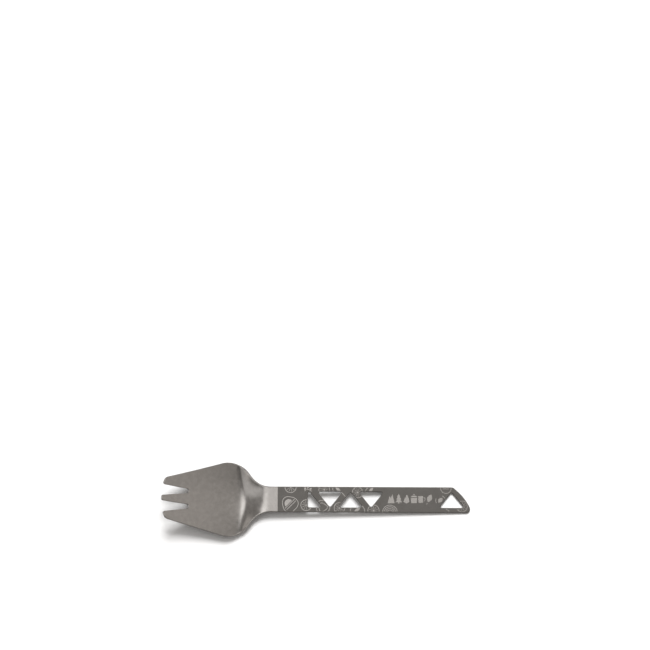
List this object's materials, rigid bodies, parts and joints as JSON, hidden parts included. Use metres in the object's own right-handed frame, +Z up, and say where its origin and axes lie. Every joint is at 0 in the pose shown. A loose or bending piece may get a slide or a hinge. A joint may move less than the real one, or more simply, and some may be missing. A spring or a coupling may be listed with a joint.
{
  "type": "spork",
  "caption": "Flat one-piece titanium picnic spork: shallow bowl with tines, folded neck, flat coated handle with triangular windows and a hanging hole.",
  "frame": {"origin": "on the table, under the middle of the overall length and width, with the open bowl facing up", "axes": "+X along the handle from the tines to the handle's end, +Y across, +Z up"},
  "size_m": [0.165, 0.0398, 0.0135],
  "materials": {
    "titanium": "bead-blasted bare metal",
    "handle_coat": "thin dark grey matt coat on the handle, with line art cut through it to the bare metal"
  },
  "bodies": {
    "root": {"spork": "titanium"}
  },
  "joints": []
}
